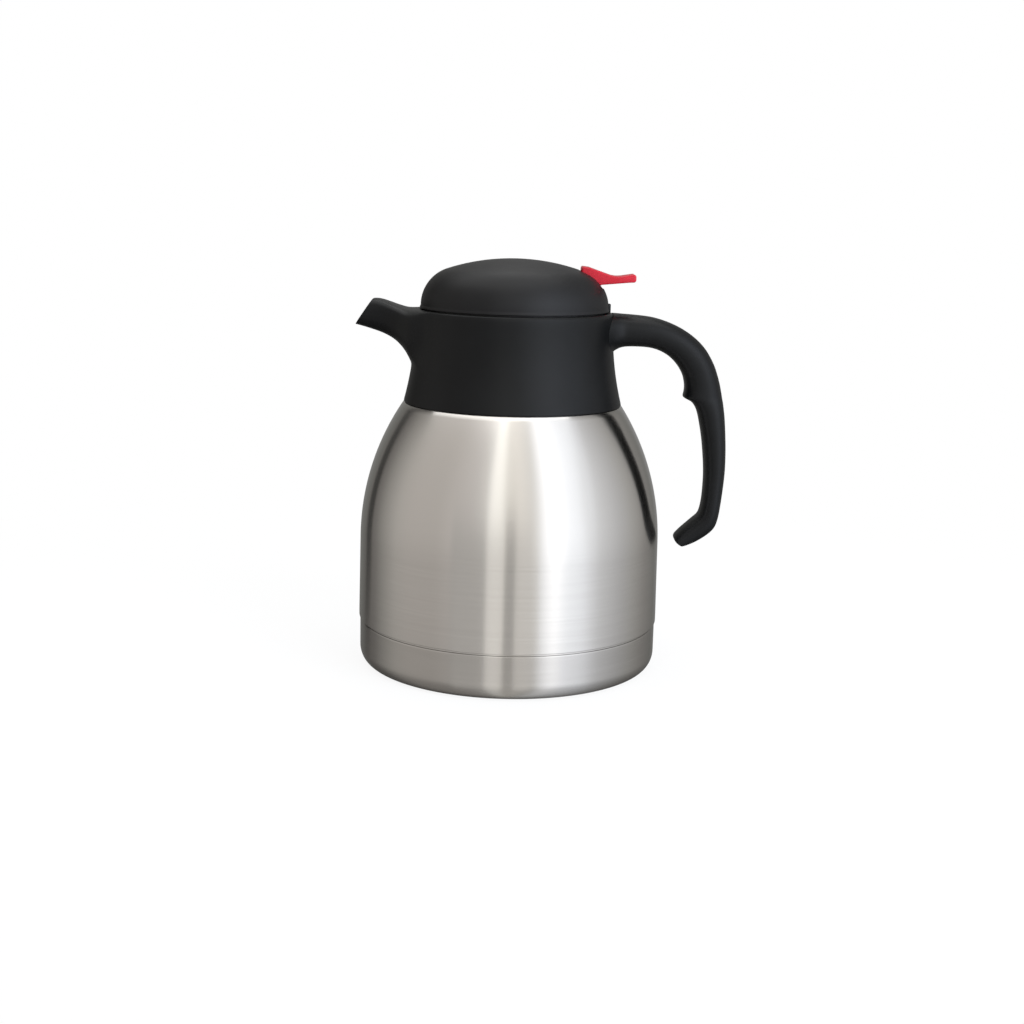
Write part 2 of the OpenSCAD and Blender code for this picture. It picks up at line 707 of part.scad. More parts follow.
module retainer_screw() {
    under_z = valve_seal_z - 2 * skin - retainer_t;
    color(STEEL) union() {
        translate([0, 0, under_z - 1.4]) cylinder(r = 3, h = 1.4, $fn = 32);
        translate([0, 0, under_z - 0.7])
            cylinder(r = small_screw_r, h = stem_foot_z + hub_h - under_z, $fn = 32);
    }
}

outer_shell();
base_pan();
base_cap();
vacuum_plug();
inner_flask();
flask_neck();
getter();
neck_gasket();
collar();
mouth_ring();
handle();
handle_screws();
stopper_body();
lid_dome();
lid_seal();
mouth_seal();
stem_seal();
thumb_lever();
lever_pin();
valve_spring();
valve_stem();
valve_disc();
valve_seal();
seal_retainer();
retainer_screw();
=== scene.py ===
import bpy
import bmesh
from math import asin, copysign, cos, degrees, pi, radians, sin, sqrt
from mathutils import Matrix, Vector


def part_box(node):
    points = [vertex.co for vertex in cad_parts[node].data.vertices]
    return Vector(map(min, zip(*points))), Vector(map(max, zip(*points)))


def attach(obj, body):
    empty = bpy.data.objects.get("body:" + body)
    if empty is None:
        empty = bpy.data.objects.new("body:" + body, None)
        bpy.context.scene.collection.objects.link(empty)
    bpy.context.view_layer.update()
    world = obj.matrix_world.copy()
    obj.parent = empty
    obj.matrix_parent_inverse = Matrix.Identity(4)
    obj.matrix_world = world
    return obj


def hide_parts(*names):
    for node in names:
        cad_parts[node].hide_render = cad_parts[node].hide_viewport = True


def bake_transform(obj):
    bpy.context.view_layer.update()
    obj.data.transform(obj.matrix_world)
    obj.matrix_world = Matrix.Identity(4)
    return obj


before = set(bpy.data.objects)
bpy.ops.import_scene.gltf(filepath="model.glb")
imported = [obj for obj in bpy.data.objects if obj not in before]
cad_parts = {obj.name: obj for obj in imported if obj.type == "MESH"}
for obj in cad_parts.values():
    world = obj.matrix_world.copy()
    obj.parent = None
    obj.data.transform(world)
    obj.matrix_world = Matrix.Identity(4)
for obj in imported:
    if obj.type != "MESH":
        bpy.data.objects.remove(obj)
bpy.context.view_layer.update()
mm = 0.001  # every size below is in millimetres, as the jug's own drawing has it


def linear(hexCode):
    parts = [int(hexCode[i:i + 2], 16) / 255 for i in (1, 3, 5)]
    return tuple(c / 12.92 if c <= 0.04045 else ((c + 0.055) / 1.055) ** 2.4 for c in parts) + (1.0,)


def addNode(tree, kind, inputs=None, **settings):
    # one node with its settings; an input is a value or the socket that feeds it
    node = tree.nodes.new(kind)
    for name, value in settings.items():
        setattr(node, name, value)
    for key, value in (inputs or {}).items():
        if isinstance(value, bpy.types.NodeSocket):
            tree.links.new(value, node.inputs[key])
        else:
            node.inputs[key].default_value = value
    return node


def maths(tree, operation, *values):
    # the result of one sum, whose values are numbers or sockets
    return addNode(tree, "ShaderNodeMath", dict(enumerate(values)), operation=operation).outputs[0]


def newMaterial(name):
    material = bpy.data.materials.new(name)
    material.use_nodes = True
    tree = material.node_tree
    tree.nodes.clear()
    return material, tree


def between(a, b, t):
    return a + (b - a) * t


def meshObject(name, points, faces, material=None, edges=()):
    mesh = bpy.data.meshes.new(name)
    mesh.from_pydata([tuple(c * mm for c in p) for p in points], edges, faces)
    made = bpy.data.objects.new(name, mesh)
    bpy.context.collection.objects.link(made)
    if material:
        mesh.materials.append(material)
    return made


# Camera, fitted to the rings of the photograph

view = {
    "place": (0, -720, 217.8),
    "yaw": 0.089,  # degrees, towards +X
    "down": 11.399,
    "roll": 1.394,  # the photograph leans a little clockwise
    "lens": 53.12,  # on a 36 mm sensor
}


def aimCamera():
    yaw, down, roll = (radians(view[k]) for k in ("yaw", "down", "roll"))
    ahead = Vector((sin(yaw) * cos(down), cos(yaw) * cos(down), -sin(down)))
    level = Vector((cos(yaw), -sin(yaw), 0))
    upright = level.cross(ahead)
    right = cos(roll) * level + sin(roll) * upright
    up = cos(roll) * upright - sin(roll) * level
    data = bpy.data.cameras.new("photoCamera")
    data.sensor_width = 36
    data.lens = view["lens"]
    data.clip_start = 0.01
    camera = bpy.data.objects.new("photoCamera", data)
    turn = Matrix((right, up, -ahead)).transposed().to_4x4()
    camera.matrix_world = Matrix.Translation(Vector(view["place"]) * mm) @ turn
    bpy.context.collection.objects.link(camera)
    bpy.context.scene.camera = camera


aimCamera()
print("stage: camera")

# Studio: white surround, a soft lamp overhead, one window side and a tent that only gloss sees

studio = {
    "paper": "#f4f4f4",
    "floorHalf": 4000,
    "floorShadow": 0.12,  # share of the real floor, with its shadow, that the camera sees
    "floorFade": (100, 450),  # from here outwards the floor turns as white as what is behind it
    "tentRadius": 1100,
    "tentLow": -900,
    "tentHigh": 900,
    "tentEnds": (-1600, 2600),  # it closes to a point below and above
    "tentDusk": (-800, 100, 0.42),  # heights where it is darkest and fully lit, and how dark
    # what the polished steel sees round the jug: degrees from the camera, right is positive
    "tentTones": [
        (-180, 0.36, 0.36, 0.35), (-160, 0.24, 0.24, 0.23), (-145, 0.20, 0.20, 0.19),
        (-136, 0.20, 0.19, 0.18), (-120, 0.25, 0.24, 0.23), (-108, 0.42, 0.41, 0.39),
        (-92, 0.62, 0.60, 0.57), (-80, 0.66, 0.63, 0.60), (-55, 0.66, 0.63, 0.60),
        (-28, 0.82, 0.79, 0.77), (-18, 1.02, 1.01, 0.98), (-14, 1.70, 1.69, 1.64),
        (-7, 1.70, 1.69, 1.62), (-2, 1.24, 1.21, 1.14), (9, 1.26, 1.22, 1.16),
        (20, 1.04, 1.03, 1.00), (26, 1.50, 1.52, 1.56), (34, 1.86, 1.88, 1.92),
        (44, 1.38, 1.42, 1.48), (64, 1.10, 1.13, 1.18), (91, 0.72, 0.73, 0.75),
        (106, 0.56, 0.56, 0.55), (123, 0.38, 0.37, 0.36), (147, 0.22, 0.22, 0.21),
        (165, 0.32, 0.32, 0.32), (180, 0.36, 0.36, 0.35)],
    "tentSteps": 96,
    # grey cards just inside the tent: first and last angle, foot, top and tone
    "cards": [(-137, -126, -230, 2100, 0.06), (-42, -16, -700, 190, 0.58),
              (-16, -4, -700, 190, 1.0), (-3, 5, -700, 260, 0.48), (5, 17, -700, 190, 0.86)],
    "cardInset": 0.95,
    "cardTint": (1, 0.98, 0.95, 1),
}


def shownWhite(tree):
    # the camera, mirrors and glass see plain white; other rays see the given shader
    path = addNode(tree, "ShaderNodeLightPath").outputs
    first = maths(tree, "MAXIMUM", path["Is Camera Ray"], path["Is Glossy Ray"])
    return maths(tree, "MAXIMUM", first, path["Is Transmission Ray"])


def makeWorld():
    world = bpy.data.worlds.new("whiteSurround")
    bpy.context.scene.world = world
    world.use_nodes = True
    tree = world.node_tree
    tree.nodes.clear()
    white = addNode(tree, "ShaderNodeBackground", {"Color": (1, 1, 1, 1), "Strength": 1.0})
    soft = addNode(tree, "ShaderNodeBackground", {"Color": linear("#f2f3f5"), "Strength": 0.75})
    mix = addNode(tree, "ShaderNodeMixShader", {0: shownWhite(tree), 1: soft.outputs[0],
                                                2: white.outputs[0]})
    addNode(tree, "ShaderNodeOutputWorld", {"Surface": mix.outputs[0]})


def makeFloor():
    half, shade = studio["floorHalf"], studio["floorShadow"]
    fadeFrom, fadeTo = (r * mm for r in studio["floorFade"])
    material, tree = newMaterial("whitePaper")
    paper = addNode(tree, "ShaderNodeBsdfDiffuse", {"Color": linear(studio["paper"])})
    white = addNode(tree, "ShaderNodeEmission", {"Color": (1, 1, 1, 1), "Strength": 1.0})
    spot = addNode(tree, "ShaderNodeTexCoord").outputs["Object"]
    away = addNode(tree, "ShaderNodeVectorMath", {0: spot}, operation="LENGTH")
    faded = addNode(tree, "ShaderNodeMapRange", {
        "Value": away.outputs["Value"], "From Min": fadeFrom, "From Max": fadeTo,
        "To Min": 1 - shade, "To Max": 1.0}, interpolation_type="SMOOTHSTEP")
    share = maths(tree, "MULTIPLY", shownWhite(tree), faded.outputs[0])
    mix = addNode(tree, "ShaderNodeMixShader", {0: share, 1: paper.outputs[0], 2: white.outputs[0]})
    addNode(tree, "ShaderNodeOutputMaterial", {"Surface": mix.outputs[0]})
    corners = [(-half, -half, 0), (half, -half, 0), (half, half, 0), (-half, half, 0)]
    floor = meshObject("paperFloor", corners, [(0, 1, 2, 3)], material)
    floor.visible_glossy = False  # the steel sees the tent down to its lower edge instead


def onlyGlossSees(thing):
    thing.visible_camera = False
    thing.visible_diffuse = False
    thing.visible_shadow = False
    thing.visible_transmission = False


def makeTent():
    s = studio
    steps, radius = s["tentSteps"], s["tentRadius"]
    ring = [(radius * cos(2 * pi * i / steps), radius * sin(2 * pi * i / steps)) for i in range(steps)]
    points = [(x, y, z) for z in (s["tentLow"], s["tentHigh"]) for x, y in ring]
    points += [(0, 0, end) for end in s["tentEnds"]]
    faces = [(i, i + steps, (i + 1) % steps + steps, (i + 1) % steps) for i in range(steps)]
    faces += [(2 * steps, i, (i + 1) % steps) for i in range(steps)]
    faces += [(i + steps, 2 * steps + 1, (i + 1) % steps + steps) for i in range(steps)]
    material, tree = newMaterial("litCloth")
    place = addNode(tree, "ShaderNodeTexCoord")
    axes = addNode(tree, "ShaderNodeSeparateXYZ", {0: place.outputs["Object"]}).outputs
    toCamera = maths(tree, "MULTIPLY", axes["Y"], -1.0)
    turn = maths(tree, "ARCTAN2", axes["X"], toCamera)
    part = maths(tree, "MULTIPLY_ADD", turn, 1 / (2 * pi), 0.5)
    tones = addNode(tree, "ShaderNodeValToRGB", {0: part})
    ramp = tones.color_ramp
    brightest = max(max(t[1:]) for t in s["tentTones"])
    for k, (angle, *tone) in enumerate(s["tentTones"]):
        spot = 0.5 + angle / 360
        stop = ramp.elements[k] if k < 2 else ramp.elements.new(spot)
        stop.position = spot
        stop.color = tuple(c / brightest for c in tone) + (1,)
    darkest, lit, least = s["tentDusk"]
    dusk = addNode(tree, "ShaderNodeMapRange", {
        "Value": axes["Z"], "From Min": darkest * mm, "From Max": lit * mm,
        "To Min": least * brightest, "To Max": brightest}, interpolation_type="SMOOTHSTEP")
    glow = addNode(tree, "ShaderNodeEmission", {"Color": tones.outputs[0], "Strength": dusk.outputs[0]})
    addNode(tree, "ShaderNodeOutputMaterial", {"Surface": glow.outputs[0]})
    onlyGlossSees(meshObject("lightTent", points, faces, material))


def makeCards():
    s = studio
    peak, eaves = s["tentEnds"][1], s["tentHigh"]
    for number, (first, last, low, high, tone) in enumerate(s["cards"]):
        angles = [radians(between(first, last, i / 4)) for i in range(5)]
        rows = (low, high) if high <= eaves else (low, eaves, high)
        points = []
        for z in rows:
            away = s["cardInset"] * s["tentRadius"] * min(1, (peak - z) / (peak - eaves))
            points += [(sin(a) * away, -cos(a) * away, z) for a in angles]
        faces = [(i, i + 1, i + 6, i + 5) for i in range(5 * len(rows) - 5) if i % 5 < 4]
        material, tree = newMaterial(f"greyCard{number}")
        glow = addNode(tree, "ShaderNodeEmission", {"Color": s["cardTint"], "Strength": tone})
        addNode(tree, "ShaderNodeOutputMaterial", {"Surface": glow.outputs[0]})
        onlyGlossSees(meshObject(material.name, points, faces, material))


lampAim = 100  # height of the spot that both lamps look at
lamps = {
    "overhead": {"place": (-100, 150, 1050), "size": 1200, "watts": 6.5, "tint": "#ffffff"},
    "windowSide": {"place": (900, -900, 500), "size": 900, "watts": 17.0, "tint": "#e6efff"},
}


def makeLamps():
    for name, lamp in lamps.items():
        data = bpy.data.lights.new(name, "AREA")
        data.shape = "SQUARE"
        data.size = lamp["size"] * mm
        data.energy = lamp["watts"]
        data.color = linear(lamp["tint"])[:3]
        lampObject = bpy.data.objects.new(name, data)
        place = Vector(lamp["place"]) * mm
        aim = Vector((0, 0, lampAim)) * mm - place
        turn = aim.to_track_quat("-Z", "Y").to_matrix().to_4x4()
        lampObject.matrix_world = Matrix.Translation(place) @ turn
        bpy.context.collection.objects.link(lampObject)


makeWorld()
makeFloor()
makeTent()
makeCards()
makeLamps()
bpy.context.scene.view_settings.view_transform = "Standard"
print("stage: studio")

# Finishes. Colours are as the eye sees them; a pattern's size is in millimetres


def grain(tree, spots, size, detail=2.0, dimensions="3D", across=None, stretch=(1, 1, 1)):
    # noise from 0 to 1 with features of the given size in millimetres
    place = addNode(tree, "ShaderNodeVectorMath", {0: spots, 1: stretch}, operation="MULTIPLY")
    inputs = {"Vector": place.outputs[0], "Scale": 1 / (size * mm), "Detail": detail}
    if across:
        inputs["W"] = across
    return addNode(tree, "ShaderNodeTexNoise", inputs, noise_dimensions=dimensions).outputs["Fac"]


def spread(tree, value, low, high):
    # a noise, which stays near its middle, opened out to run from low to high
    node = addNode(tree, "ShaderNodeMapRange", {"Value": value, "From Min": 0.3, "From Max": 0.7,
                                                "To Min": low, "To Max": high})
    return node.outputs[0]


def tinted(tree, value, dark, light):
    ramp = addNode(tree, "ShaderNodeValToRGB", {0: value})
    ramp.color_ramp.elements[0].color = linear(dark)
    ramp.color_ramp.elements[1].color = linear(light)
    return ramp.outputs[0]


# Sheets of 18/8 stainless steel, turned against an abrasive belt: fine level lines all the way
# round, which draw each reflection out into a tall soft band
brushed = {
    "brushedStainlessSteel": {"dark": "#c6c3bf", "light": "#d4d1cd", "roughness": (0.19, 0.23)},
    # the base pan, from another sheet: a little duller
    "brushedBaseSteel": {"dark": "#bab7b3", "light": "#c8c5c1", "roughness": (0.2, 0.25)},
}
brushing = {
    "stretch": 0.94,
    "turn": 0.25,  # the lines run round the axis
    "lineSpacing": 0.45,  # really 0.1 to 0.2, drawn coarser so that it shows
    "lineLength": 45,
    "bandSpacing": 3,  # slower changes of the belt's pressure
    "bandShare": 0.3,
    "relief": 0.0015,
    "reliefShare": 0.25,
    "smearSize": 45,  # handling marks, which dull the shine a little
    "smearShare": 0.04,
}


def makeBrushedSteel(name):
    look, lines = brushed[name], brushing
    material, tree = newMaterial(name)
    spots = addNode(tree, "ShaderNodeTexCoord").outputs["Object"]
    flat = addNode(tree, "ShaderNodeVectorMath", {0: spots, 1: (1, 1, 0)}, operation="MULTIPLY")
    radius = addNode(tree, "ShaderNodeVectorMath", {0: flat.outputs[0]}, operation="LENGTH")
    marks = []
    for spacing in (lines["lineSpacing"], lines["bandSpacing"]):
        along = spacing / lines["lineLength"]
        across = maths(tree, "MULTIPLY", radius.outputs["Value"], 1 / (spacing * mm))
        marks.append(grain(tree, spots, spacing, 3.0, "4D", across, (along, along, 1)))
    weak = maths(tree, "MULTIPLY", marks[1], lines["bandShare"])
    mean = maths(tree, "MULTIPLY_ADD", marks[0], 1 - lines["bandShare"], weak)
    smear = grain(tree, spots, lines["smearSize"], 1.0)
    rough = spread(tree, mean, *look["roughness"])
    worn = maths(tree, "MULTIPLY_ADD", smear, lines["smearShare"], rough)
    relief = addNode(tree, "ShaderNodeBump", {"Height": marks[0], "Strength": lines["reliefShare"],
                                              "Distance": lines["relief"] * mm})
    around = addNode(tree, "ShaderNodeTangent", direction_type="RADIAL", axis="Z")
    metal = addNode(tree, "ShaderNodeBsdfPrincipled", {
        "Base Color": tinted(tree, spread(tree, mean, 0, 1), look["dark"], look["light"]),
        "Metallic": 1.0, "Roughness": worn, "Anisotropic": lines["stretch"],
        "Anisotropic Rotation": lines["turn"], "Normal": relief.outputs[0], "Tangent": around.outputs[0]})
    addNode(tree, "ShaderNodeOutputMaterial", {"Surface": metal.outputs[0]})
    return material


# Moulded plastics and rubber: base colours, roughness, grain size and depth
mouldFlow = 22  # size of the slow changes of colour and gloss
mouldPits = 0.05  # how much rougher the grain's hollows are
moulded = {
    # polypropylene from a finely spark-eroded mould: deep black with a soft satin sheen
    "satinBlackPolypropylene": {"dark": "#070809", "light": "#0b0c0d", "roughness": (0.34, 0.4),
                                "grain": 0.5, "relief": 0.006, "ior": 1.49, "specular": 0.2},
    # the same plastic from a smoother mould, with a greyer base colour: painted light, for the dome's top
    # that faces the bright sky
    "lidBlackPolypropylene": {"dark": "#0d0d0e", "light": "#121213", "roughness": (0.4, 0.46),
                              "grain": 0.5, "relief": 0.006, "ior": 1.49, "specular": 0.24},
    # plain moulded polypropylene inside, glossier, with faint flow marks
    "innerBlackPolypropylene": {"dark": "#141415", "light": "#1e1e20", "roughness": (0.28, 0.38),
                                "grain": 2.5, "relief": 0.01, "ior": 1.49, "specular": 0.45},
    # self-coloured ABS from a polished mould: saturated signal red, glossy
    "glossyRedAbs": {"dark": "#ac1524", "light": "#ba182b", "roughness": (0.26, 0.34),
                     "grain": 1.2, "relief": 0.004, "ior": 1.53, "specular": 0.25},
    # food-grade silicone, pressed: pale grey, dull, a little dusty
    "greySilicone": {"dark": "#85888c", "light": "#989b9f", "roughness": (0.6, 0.75),
                     "grain": 0.8, "relief": 0.02, "ior": 1.41, "specular": 0.4},
}


def makeMoulded(name):
    look = moulded[name]
    material, tree = newMaterial(name)
    spots = addNode(tree, "ShaderNodeTexCoord").outputs["Object"]
    fine = grain(tree, spots, look["grain"], 2.0)
    broad = grain(tree, spots, mouldFlow, 2.0)
    rough = spread(tree, broad, *look["roughness"])
    pitted = maths(tree, "MULTIPLY_ADD", fine, mouldPits, rough)
    relief = addNode(tree, "ShaderNodeBump", {"Height": fine, "Strength": 0.35,
                                              "Distance": look["relief"] * mm})
    plastic = addNode(tree, "ShaderNodeBsdfPrincipled", {
        "Base Color": tinted(tree, spread(tree, broad, 0, 1), look["dark"], look["light"]),
        "Roughness": pitted, "IOR": look["ior"],
        "Specular IOR Level": look["specular"], "Normal": relief.outputs[0]})
    addNode(tree, "ShaderNodeOutputMaterial", {"Surface": plastic.outputs[0]})
    return material


metalClouds = 18  # size of the slow changes of colour
metalRelief = 0.01
metals = {
    # the flask's deep-drawn inner wall, pickled: bright grey, soft, with faint drawing rings
    "satinStainlessSteel": {"dark": "#b9b6b1", "light": "#cfccc8", "roughness": (0.32, 0.42),
                            "spacing": 1.5},
    # cold-drawn spring wire and turned screws: darker, with fine lines round each bar
    "drawnSteelWire": {"dark": "#9b9b9c", "light": "#bcbcbc", "roughness": (0.22, 0.34),
                       "spacing": 0.4},
    # sintered getter pill: dark, matt and grainy
    "sinteredGetterAlloy": {"dark": "#5c5a58", "light": "#74716e", "roughness": (0.6, 0.8),
                            "spacing": 0.6},
}


def makeMetal(name):
    look = metals[name]
    material, tree = newMaterial(name)
    spots = addNode(tree, "ShaderNodeTexCoord").outputs["Object"]
    lines = grain(tree, spots, look["spacing"], 2.0, stretch=(0.15, 0.15, 1))
    broad = grain(tree, spots, metalClouds, 2.0)
    rough = spread(tree, lines, *look["roughness"])
    relief = addNode(tree, "ShaderNodeBump", {"Height": lines, "Strength": 0.2,
                                              "Distance": metalRelief * mm})
    metal = addNode(tree, "ShaderNodeBsdfPrincipled", {
        "Base Color": tinted(tree, spread(tree, broad, 0, 1), look["dark"], look["light"]),
        "Metallic": 1.0, "Roughness": rough, "Normal": relief.outputs[0]})
    addNode(tree, "ShaderNodeOutputMaterial", {"Surface": metal.outputs[0]})
    return material


finishes = {name: makeBrushedSteel(name) for name in brushed}
finishes.update({name: makeMoulded(name) for name in moulded})
finishes.update({name: makeMetal(name) for name in metals})
print("stage: finishes")

# Shapes that several pieces share. Outlines are (radius, height) in millimetres


def arcPoints(centre, radius, start, stop, steps):
    turns = [radians(start + (stop - start) * i / steps) for i in range(steps + 1)]
    return [(centre[0] + radius * cos(a), centre[1] + radius * sin(a)) for a in turns]


def leftOf(path, i):
    # the way that points left of the path at point i, longer where the path bends
    here, ahead = max(i, 1), min(i + 1, len(path) - 1)
    a = (Vector(path[here]) - Vector(path[here - 1])).normalized()
    b = (Vector(path[ahead]) - Vector(path[ahead - 1])).normalized()
    t = (a + b).normalized()
    return Vector((-t.y, t.x)) / max(0.5, t.dot(a))


def sheetOutline(path, thickness):
    inner = [tuple(Vector(p) + thickness * leftOf(path, i)) for i, p in enumerate(path)]
    return list(path) + inner[::-1]


def smoothRows(rows, per):
    # more rows on a smooth curve through the given ones
    rows = [Vector(r) for r in rows]
    result = []
    for k in range((len(rows) - 1) * per + 1):
        i = min(k // per, len(rows) - 2)
        t = k / per - i
        a, b, c, d = rows[max(0, i - 1)], rows[i], rows[i + 1], rows[min(len(rows) - 1, i + 2)]
        result.append(b + t * ((c - a) / 2 + t * ((2 * a - 5 * b + 4 * c - d) / 2
                                                  + t * (3 * b - a - 3 * c + d) / 2)))
    return result


def pillow(halfWidth, halfHeight, turns, square, squareTop=None):
    # points of a rounded-off box section at the given turns, in degrees; its top may be squarer
    points = []
    for turn in turns:
        c, s = cos(radians(turn)), sin(radians(turn))
        power = 2 / (squareTop if squareTop and s > 0 else square)
        points.append((copysign(halfWidth * abs(c) ** power, c),
                       copysign(halfHeight * abs(s) ** power, s)))
    return points


def faceOut(made):
    # turns every face of a closed mesh outwards
    work = bmesh.new()
    work.from_mesh(made.data)
    bmesh.ops.recalc_face_normals(work, faces=work.faces)
    if work.calc_volume(signed=True) < 0:
        bmesh.ops.reverse_faces(work, faces=work.faces)
    work.to_mesh(made.data)
    work.free()
    return made


def settled(made):
    # the object with its modifiers taken into a plain mesh
    bpy.context.view_layer.update()
    graph = bpy.context.evaluated_depsgraph_get()
    mesh = bpy.data.meshes.new_from_object(made.evaluated_get(graph), depsgraph=graph)
    made.modifiers.clear()
    mesh.name = made.name
    made.data = mesh
    return made


def subdivided(made, levels):
    smoother = made.modifiers.new("smoother", "SUBSURF")
    smoother.levels = smoother.render_levels = levels
    return settled(made)


def smoothShade(made, sharpAngle=32):
    for face in made.data.polygons:
        face.use_smooth = True
    made.data.set_sharp_from_angle(angle=radians(sharpAngle))
    return made


def combine(made, *tools):
    # each tool is an operation and the object that it uses up
    for operation, tool in tools:
        step = made.modifiers.new(operation, "BOOLEAN")
        step.operation = operation
        step.solver = "MANIFOLD"
        step.object = tool
    settled(made)
    for operation, tool in tools:
        bpy.data.objects.remove(tool)
    return made


def loft(name, rings, material=None):
    # closed skin over rings that all have as many points
    count = len(rings[0])
    last = (len(rings) - 1) * count
    points = [p for ring in rings for p in ring]
    faces = [(a + j, a + (j + 1) % count, a + count + (j + 1) % count, a + count + j)
             for a in range(0, last, count) for j in range(count)]
    faces.append(tuple(range(count))[::-1])
    faces.append(tuple(range(last, last + count)))
    return faceOut(meshObject(name, points, faces, material))


def boxCorners(low, high):
    return [(x, y, z) for x in (low[0], high[0]) for y in (low[1], high[1])
            for z in (low[2], high[2])]


boxFaces = [(0, 1, 3, 2), (4, 6, 7, 5), (0, 4, 5, 1), (2, 3, 7, 6), (0, 2, 6, 4), (1, 5, 7, 3)]


def roundedBox(name, low, high, rounding, material):
    box = faceOut(meshObject(name, boxCorners(low, high), boxFaces, material))
    bevel = box.modifiers.new("rounding", "BEVEL")
    bevel.width = rounding * mm
    bevel.segments = 3
    return settled(box)


def newShapeTree(name, inputs):
    # inputs are names with their kinds; every tree also takes the finish and ends by giving it
    tree = bpy.data.node_groups.new(name, "GeometryNodeTree")
    for label, kind in {**inputs, "Finish": "Material"}.items():
        tree.interface.new_socket(label, in_out="INPUT", socket_type="NodeSocket" + kind)
    tree.interface.new_socket("Made", in_out="OUTPUT", socket_type="NodeSocketGeometry")
    return tree, addNode(tree, "NodeGroupInput").outputs


def endShapeTree(tree, shape, given):
    plain = addNode(tree, "GeometryNodeRealizeInstances", {0: shape.outputs[0]})
    dressed = addNode(tree, "GeometryNodeSetMaterial", {"Geometry": plain.outputs[0],
                                                        "Material": given["Finish"]})
    addNode(tree, "NodeGroupOutput", {0: dressed.outputs[0]})
    return tree


def makeTurningTree():
    # a closed outline, drawn in x and z, is turned round the z axis
    tree, given = newShapeTree("turnedOutline", {"Outline": "Geometry", "Steps": "Int",
                                                 "Weld Distance": "Float"})
    size = addNode(tree, "GeometryNodeAttributeDomainSize", {0: given["Outline"]})
    rows = size.outputs["Point Count"]
    columns = maths(tree, "ADD", given["Steps"], 1.0)
    grid = addNode(tree, "GeometryNodeMeshGrid", {"Vertices X": columns, "Vertices Y": rows})
    index = addNode(tree, "GeometryNodeInputIndex").outputs[0]
    row = maths(tree, "MODULO", index, rows)
    column = maths(tree, "FLOOR", maths(tree, "DIVIDE", index, rows))
    angle = maths(tree, "MULTIPLY", maths(tree, "DIVIDE", column, given["Steps"]), 2 * pi)
    place = addNode(tree, "GeometryNodeInputPosition").outputs[0]
    drawn = addNode(tree, "GeometryNodeSampleIndex", {"Geometry": given["Outline"]},
                    data_type="FLOAT_VECTOR", domain="POINT")
    tree.links.new(place, drawn.inputs["Value"])
    tree.links.new(row, drawn.inputs["Index"])
    turn = addNode(tree, "ShaderNodeVectorRotate", {"Vector": drawn.outputs[0], "Angle": angle},
                   rotation_type="Z_AXIS")
    moved = addNode(tree, "GeometryNodeSetPosition", {"Geometry": grid.outputs[0],
                                                      "Position": turn.outputs[0]})
    welded = addNode(tree, "GeometryNodeMergeByDistance", {"Geometry": moved.outputs[0],
                                                           "Distance": given["Weld Distance"]})
    return endShapeTree(tree, welded, given)


def makeRepeatTree():
    # copies of a shape, set evenly round the z axis
    tree, given = newShapeTree("repeatedRound", {"Shape": "Geometry", "Count": "Int"})
    line = addNode(tree, "GeometryNodeMeshLine", {"Count": given["Count"], "Offset": (0, 0, 0)})
    index = addNode(tree, "GeometryNodeInputIndex").outputs[0]
    angle = maths(tree, "MULTIPLY", maths(tree, "DIVIDE", index, given["Count"]), 2 * pi)
    turn = addNode(tree, "ShaderNodeCombineXYZ", {"Z": angle})
    copies = addNode(tree, "GeometryNodeInstanceOnPoints", {
        "Points": line.outputs[0], "Instance": given["Shape"], "Rotation": turn.outputs[0]})
    return endShapeTree(tree, copies, given)


weldDistance = 0.002 * mm
turningTree = makeTurningTree()
repeatTree = makeRepeatTree()


def runTree(made, tree, values):
    step = made.modifiers.new(tree.name, "NODES")
    step.node_group = tree
    for socket in tree.interface.items_tree:
        if socket.in_out == "INPUT" and socket.name in values:
            step[socket.identifier] = values[socket.name]
    return settled(made)


def turned(name, outline, material, steps=192):
    # the outline is closed here, and its first point is met again at the end
    points = [(r, 0, z) for r, z in list(outline) + [outline[0]]]
    made = meshObject(name, points, [], edges=[(i, i + 1) for i in range(len(points) - 1)])
    runTree(made, turningTree, {"Steps": steps, "Weld Distance": weldDistance, "Finish": material})
    return faceOut(made)


def dress(made, slotName, body, *nodes):
    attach(made, body)
    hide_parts(*nodes)


# The steel body: side, shoulder and rolled lower edge of one sheet

bodyShell = {
    "radius": 72.5,
    "sideRadius": 72.1,
    "shoulderFrom": 60,
    "topRadius": 51.8,
    "collarFoot": 126.4,
    "grooveHeight": 22,
    "sheet": 0.6,
    # out from the side and up from the groove
    "rolledEdge": [(-0.3, 0), (-0.07, 0.1), (0, 0.35), (0, 0.6), (0, 4)],
    # radius, and height over the collar's foot: the step in to the neck, then the neck's bead
    "neckSteps": [(51.3, -0.05), (48.2, -0.05), (46.4, 1.8), (46.2, 6.2), (45.4, 7), (40.6, 7),
                  (40, 7.6), (40, 13.6), (40.45, 14.5), (40, 15.4)],
    "neckRadius": 40,
    "neckTop": 144.2,
    "lipRound": 0.8,
    "mouthRadius": 33.65,
}


def shoulderPoints(low, high, steps):
    b = bodyShell
    rise, run = b["collarFoot"] - b["shoulderFrom"], b["sideRadius"] - b["topRadius"]
    arc = (rise ** 2 + run ** 2) / (2 * run)
    heights = [between(low, high, i / steps) for i in range(steps + 1)]
    return [(b["sideRadius"] - arc + sqrt(arc ** 2 - (z - b["shoulderFrom"]) ** 2), z) for z in heights]


